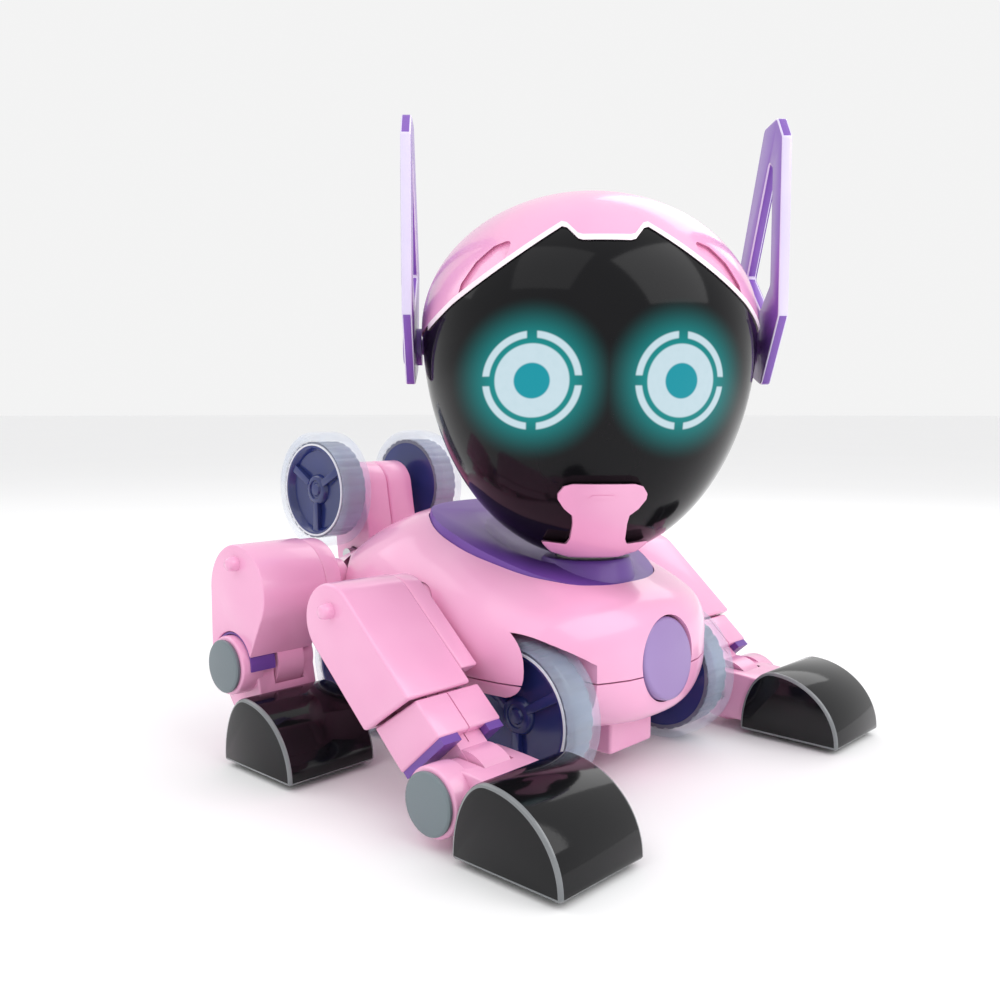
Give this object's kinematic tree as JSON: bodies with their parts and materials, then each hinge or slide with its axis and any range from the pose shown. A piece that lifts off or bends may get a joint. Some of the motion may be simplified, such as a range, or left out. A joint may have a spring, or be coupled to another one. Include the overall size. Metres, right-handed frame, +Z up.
{
  "type": "robot dog toy",
  "caption": "Motorised toy dog with a domed visor head, upright ear plates, hinged legs in shoes, drive wheels inside the legs and a wheeled tail.",
  "frame": {"origin": "middle of the bounding box's bottom face, on the floor under the toy", "axes": "+Z up, -Y the way the trunk faces, +X the toy's left side"},
  "size_m": [0.203, 0.2252, 0.2355],
  "materials": {
    "pink_plastic": "gloss moulded",
    "purple_plastic": "gloss moulded",
    "lilac_button": "satin moulded",
    "navy_hub": "gloss moulded",
    "grey_cap": "satin",
    "black_gloss": "high gloss",
    "clear_tyre": "clear, flexible",
    "inner_parts": "plain moulded",
    "board_green": "lacquered board",
    "steel": "plated"
  },
  "bodies": {
    "trunk": {"body_upper_shell": "pink_plastic", "body_lower_shell": "pink_plastic", "neck_collar": "purple_plastic", "neck_post": "inner_parts", "battery_box": "pink_plastic", "battery_box_screw": "steel", "battery_pack": "steel", "circuit_board": "board_green", "speaker": "inner_parts", "gearbox_front": "inner_parts", "gearbox_rear": "inner_parts", "tail_pivot_pin": "steel"},
    "head": {"head_rear_shell": "pink_plastic", "face_visor": "black_gloss", "snout_piece": "pink_plastic", "eye_light_board": "board_green"},
    "left_ear": {"ear_left": "purple_plastic"},
    "right_ear": {"ear_right": "purple_plastic"},
    "button": {"chest_button": "lilac_button"},
    "switch": {"power_switch": "black_gloss"},
    "front_wheels": {"axle_front": "steel", "front_left_wheel_hub": "navy_hub", "front_left_wheel_tyre": "clear_tyre", "front_right_wheel_hub": "navy_hub", "front_right_wheel_tyre": "clear_tyre"},
    "rear_wheels": {"axle_rear": "steel", "rear_left_wheel_hub": "navy_hub", "rear_left_wheel_tyre": "clear_tyre", "rear_right_wheel_hub": "navy_hub", "rear_right_wheel_tyre": "clear_tyre"},
    "tail": {"tail_arm": "pink_plastic"},
    "tail_wheels": {"tail_axle": "steel", "tail_left_wheel_hub": "navy_hub", "tail_left_wheel_tyre": "clear_tyre", "tail_right_wheel_hub": "navy_hub", "tail_right_wheel_tyre": "clear_tyre"},
    "front_left_leg": {"front_left_thigh_cover": "pink_plastic", "front_left_thigh_plate": "pink_plastic", "front_left_shin": "pink_plastic"},
    "front_left_paw": {"front_left_foot": "pink_plastic", "front_left_shoe": "black_gloss", "front_left_ankle_cap": "grey_cap"},
    "front_right_leg": {"front_right_thigh_cover": "pink_plastic", "front_right_thigh_plate": "pink_plastic", "front_right_shin": "pink_plastic"},
    "front_right_paw": {"front_right_foot": "pink_plastic", "front_right_shoe": "black_gloss", "front_right_ankle_cap": "grey_cap"},
    "rear_left_leg": {"rear_left_thigh_cover": "pink_plastic", "rear_left_thigh_plate": "pink_plastic", "rear_left_shin": "pink_plastic"},
    "rear_left_paw": {"rear_left_foot": "pink_plastic", "rear_left_shoe": "black_gloss", "rear_left_ankle_cap": "grey_cap"},
    "rear_right_leg": {"rear_right_thigh_cover": "pink_plastic", "rear_right_thigh_plate": "pink_plastic", "rear_right_shin": "pink_plastic"},
    "rear_right_paw": {"rear_right_foot": "pink_plastic", "rear_right_shoe": "black_gloss", "rear_right_ankle_cap": "grey_cap"}
  },
  "joints": [
    {"name": "head_turn", "type": "hinge", "parent": "trunk", "child": "head", "pos_m": [0, -0.04, 0.08], "axis": [0, 0, 1], "range_deg": [-15, 105]},
    {"name": "left_ear_tilt", "type": "hinge", "parent": "head", "child": "left_ear", "pos_m": [0.05515, -0.07818, 0.157], "axis": [0.7071, -0.7071, 0], "range_deg": [-25, 25]},
    {"name": "right_ear_tilt", "type": "hinge", "parent": "head", "child": "right_ear", "pos_m": [-0.03818, 0.01516, 0.157], "axis": [0.7071, -0.7071, 0], "range_deg": [-25, 25]},
    {"name": "button_press", "type": "slide", "parent": "trunk", "child": "button", "axis": [0, 0.9903, -0.1392], "range_m": [0, 0.0015], "stiffness_N_per_m": 200},
    {"name": "switch_slide", "type": "slide", "parent": "trunk", "child": "switch", "axis": [0, 1, 0], "range_m": [0, 0.004]},
    {"name": "front_wheels_spin", "type": "hinge", "parent": "trunk", "child": "front_wheels", "pos_m": [0, -0.048, 0.0278], "axis": [1, 0, 0], "continuous": true},
    {"name": "rear_wheels_spin", "type": "hinge", "parent": "trunk", "child": "rear_wheels", "pos_m": [0, 0.047, 0.0278], "axis": [1, 0, 0], "continuous": true},
    {"name": "tail_tilt", "type": "hinge", "parent": "trunk", "child": "tail", "pos_m": [0, 0.083, 0.068], "axis": [1, 0, 0], "range_deg": [-25, 6]},
    {"name": "tail_wheels_spin", "type": "hinge", "parent": "tail", "child": "tail_wheels", "pos_m": [0, 0.087, 0.098], "axis": [1, 0, 0], "continuous": true},
    {"name": "front_left_hip", "type": "hinge", "parent": "trunk", "child": "front_left_leg", "pos_m": [0.08, -0.006, 0.062], "axis": [-1, 0, 0], "range_deg": [-15, 60]},
    {"name": "front_left_ankle", "type": "hinge", "parent": "front_left_leg", "child": "front_left_paw", "pos_m": [0.08, -0.05876, 0.01449], "axis": [-1, 0, 0], "range_deg": [-15, 20]},
    {"name": "front_right_hip", "type": "hinge", "parent": "trunk", "child": "front_right_leg", "pos_m": [-0.08, -0.006, 0.062], "axis": [-1, 0, 0], "range_deg": [-15, 60]},
    {"name": "front_right_ankle", "type": "hinge", "parent": "front_right_leg", "child": "front_right_paw", "pos_m": [-0.08, -0.05876, 0.01449], "axis": [-1, 0, 0], "range_deg": [-15, 20]},
    {"name": "rear_left_hip", "type": "hinge", "parent": "trunk", "child": "rear_left_leg", "pos_m": [0.08, 0.05, 0.065], "axis": [-1, 0, 0], "range_deg": [-30, 12]},
    {"name": "rear_left_ankle", "type": "hinge", "parent": "rear_left_leg", "child": "rear_left_paw", "pos_m": [0.08, 0.054, 0.037], "axis": [-1, 0, 0], "range_deg": [-12, 15]},
    {"name": "rear_right_hip", "type": "hinge", "parent": "trunk", "child": "rear_right_leg", "pos_m": [-0.08, 0.05, 0.065], "axis": [-1, 0, 0], "range_deg": [-30, 12]},
    {"name": "rear_right_ankle", "type": "hinge", "parent": "rear_right_leg", "child": "rear_right_paw", "pos_m": [-0.08, 0.054, 0.037], "axis": [-1, 0, 0], "range_deg": [-12, 15]}
  ]
}
